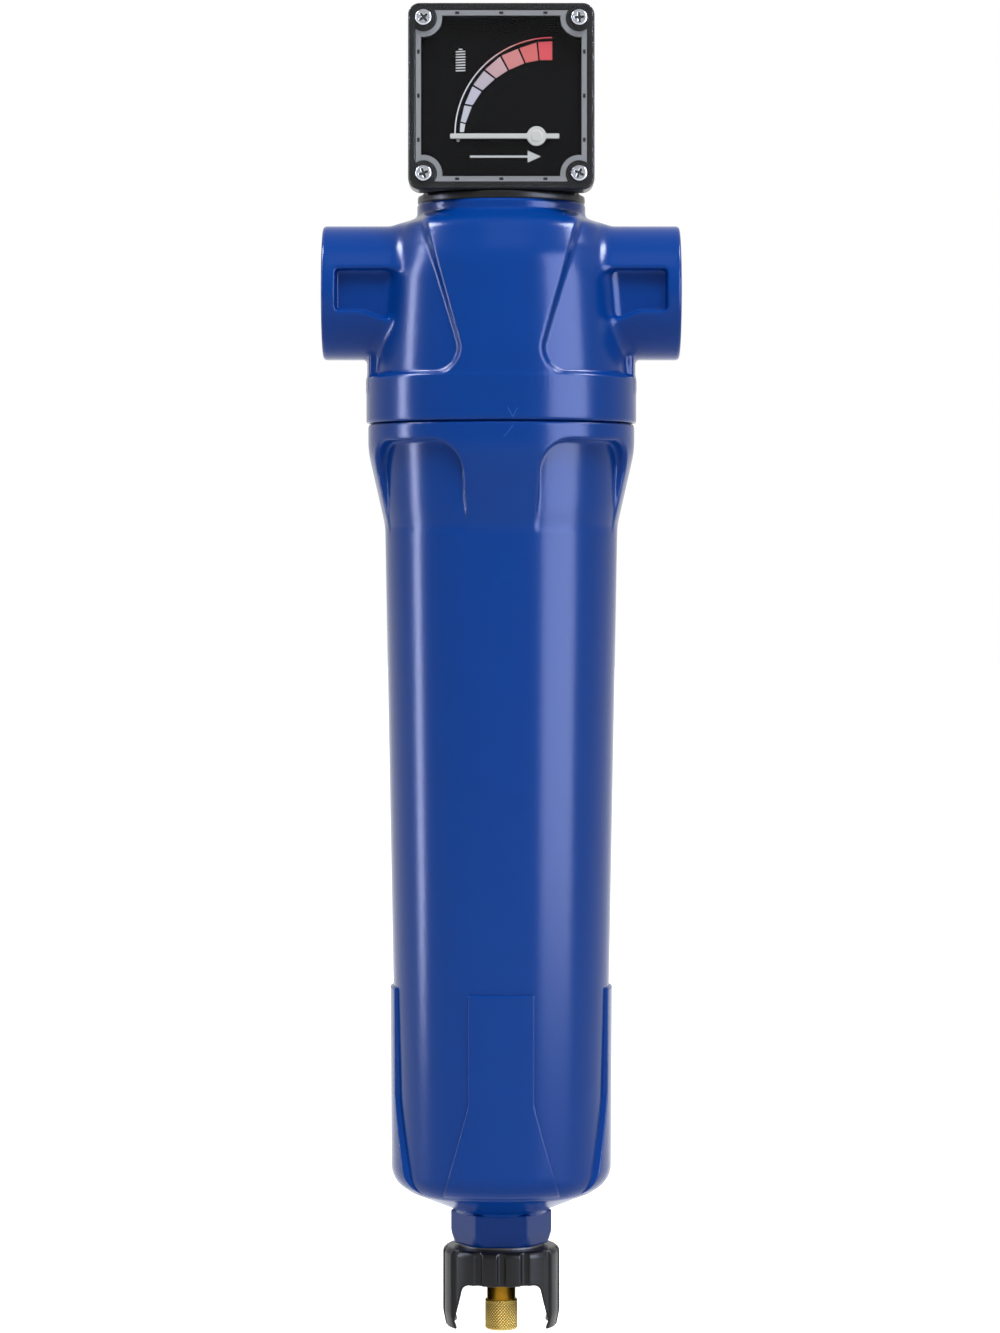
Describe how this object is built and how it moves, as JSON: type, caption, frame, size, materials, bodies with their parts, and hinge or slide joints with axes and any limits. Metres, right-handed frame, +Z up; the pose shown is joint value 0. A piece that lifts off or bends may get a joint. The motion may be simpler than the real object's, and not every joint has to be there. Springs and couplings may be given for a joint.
{
  "type": "coalescing compressed air filter",
  "caption": "Coalescing filter for compressed air lines: threaded ports in a cast head with a pressure-drop gauge, a long screw-on bowl, a filter element and a float drain.",
  "frame": {"origin": "centre of the inlet port's mouth, on the port axis", "axes": "+X along the flow from inlet to outlet, +Z up along the filter's own axis, -Y towards the gauge's face"},
  "size_m": [0.14, 0.1062, 0.5172],
  "materials": {
    "blue_coating": "satin blue powder coating on cast aluminium",
    "black_plastic": "fine matt moulded plastic",
    "clear_plastic": "clear polished plastic",
    "dial_black": "printed matt black",
    "pale_cord": "smooth pale grey silicone",
    "white_paint": "matt white",
    "screw_steel": "plated steel",
    "stainless": "stainless steel",
    "brass": "turned brass",
    "seal_rubber": "nitrile rubber",
    "magnet_steel": "plated magnet",
    "element_cap": "moulded plastic",
    "filter_fibre": "micro-fibre web",
    "drain_foam": "open-cell foam",
    "float_plastic": "moulded plastic",
    "anodised": "dark anodised aluminium"
  },
  "bodies": {
    "head": {"filter_head": "blue_coating", "gauge_base": "black_plastic", "gauge_base_screws": "screw_steel", "gauge_port_seals": "seal_rubber", "gauge_housing": "black_plastic", "housing_screws": "screw_steel", "gauge_cover_seal": "pale_cord", "gauge_cover": "clear_plastic", "gauge_cover_screws": "screw_steel", "gauge_dial": "dial_black", "pointer_bearing": "brass", "cylinder_plug": "anodised", "piston_spring": "stainless"},
    "pointer": {"gauge_pointer": "white_paint", "pointer_shaft": "stainless", "pointer_magnet": "magnet_steel"},
    "piston": {"sensing_piston": "anodised", "piston_seal": "seal_rubber", "piston_magnet": "magnet_steel"},
    "element": {"element_top_cap": "element_cap", "element_neck_seals": "seal_rubber", "inner_core": "stainless", "filter_media": "filter_fibre", "outer_core": "stainless", "drain_sleeve": "drain_foam", "element_bottom_cap": "element_cap"},
    "bowl_ring": {"bowl_seal": "seal_rubber"},
    "bowl": {"filter_bowl": "blue_coating", "drain_body": "brass", "drain_body_seal": "seal_rubber", "drain_cage": "float_plastic", "lever_bracket": "brass", "valve_nozzle": "brass", "lever_pin": "stainless"},
    "float": {"drain_float": "float_plastic"},
    "lever": {"drain_lever": "stainless", "valve_pad": "seal_rubber"},
    "washer": {"collar_washer": "stainless"},
    "collar": {"drain_collar": "black_plastic"},
    "knob_ring": {"knob_seal": "seal_rubber"},
    "knob": {"drain_knob": "brass"}
  },
  "joints": [
    {"name": "bowl_lowering", "type": "slide", "parent": "head", "child": "bowl_ring", "axis": [0, 0, -1], "range_m": [0, 0.012]},
    {"name": "bowl_unscrewing", "type": "hinge", "parent": "bowl_ring", "child": "bowl", "pos_m": [0.07, 0, -0.0517], "axis": [0, 0, -1], "range_deg": [0, 1440]},
    {"name": "element_lowering", "type": "slide", "parent": "head", "child": "element", "axis": [0, 0, -1], "range_m": [0, 0.012]},
    {"name": "piston_travel", "type": "slide", "parent": "head", "child": "piston", "axis": [0, 0, 1], "range_m": [0, 0.009], "stiffness_N_per_m": 200, "springref_m": -0.004, "deforming": ["piston_spring"]},
    {"name": "pointer_swing", "type": "hinge", "parent": "head", "child": "pointer", "pos_m": [0.0836, -0.0286, 0.0589], "axis": [0, 1, 0], "range_deg": [0, 90]},
    {"name": "float_rise", "type": "slide", "parent": "bowl", "child": "float", "axis": [0, 0, 1], "range_m": [0, 0.006]},
    {"name": "lever_tilt", "type": "hinge", "parent": "bowl", "child": "lever", "pos_m": [0.063, 0, -0.3146], "axis": [0, -1, 0], "range_deg": [0, 20.5]},
    {"name": "collar_lowering", "type": "slide", "parent": "bowl", "child": "washer", "axis": [0, 0, -1], "range_m": [0, 0.003]},
    {"name": "collar_unscrewing", "type": "hinge", "parent": "washer", "child": "collar", "pos_m": [0.07, 0, -0.378], "axis": [0, 0, -1], "range_deg": [0, 720]},
    {"name": "knob_lowering", "type": "slide", "parent": "bowl", "child": "knob_ring", "axis": [0, 0, -1], "range_m": [0, 0.001]},
    {"name": "knob_opening", "type": "hinge", "parent": "knob_ring", "child": "knob", "pos_m": [0.07, 0, -0.39], "axis": [0, 0, -1], "range_deg": [0, 360]}
  ],
  "couplings": [
    {"joint": "bowl_lowering", "follows": "bowl_unscrewing", "m_per_rad": 0.00047746},
    {"joint": "element_lowering", "follows": "bowl_unscrewing", "m_per_rad": 0.00047746},
    {"joint": "pointer_swing", "follows": "piston_travel", "rad_per_m": 174.53},
    {"joint": "lever_tilt", "follows": "float_rise", "rad_per_m": 59.63},
    {"joint": "collar_lowering", "follows": "collar_unscrewing", "m_per_rad": 0.00023873},
    {"joint": "knob_opening", "follows": "knob_lowering", "rad_per_m": 6283.2}
  ]
}
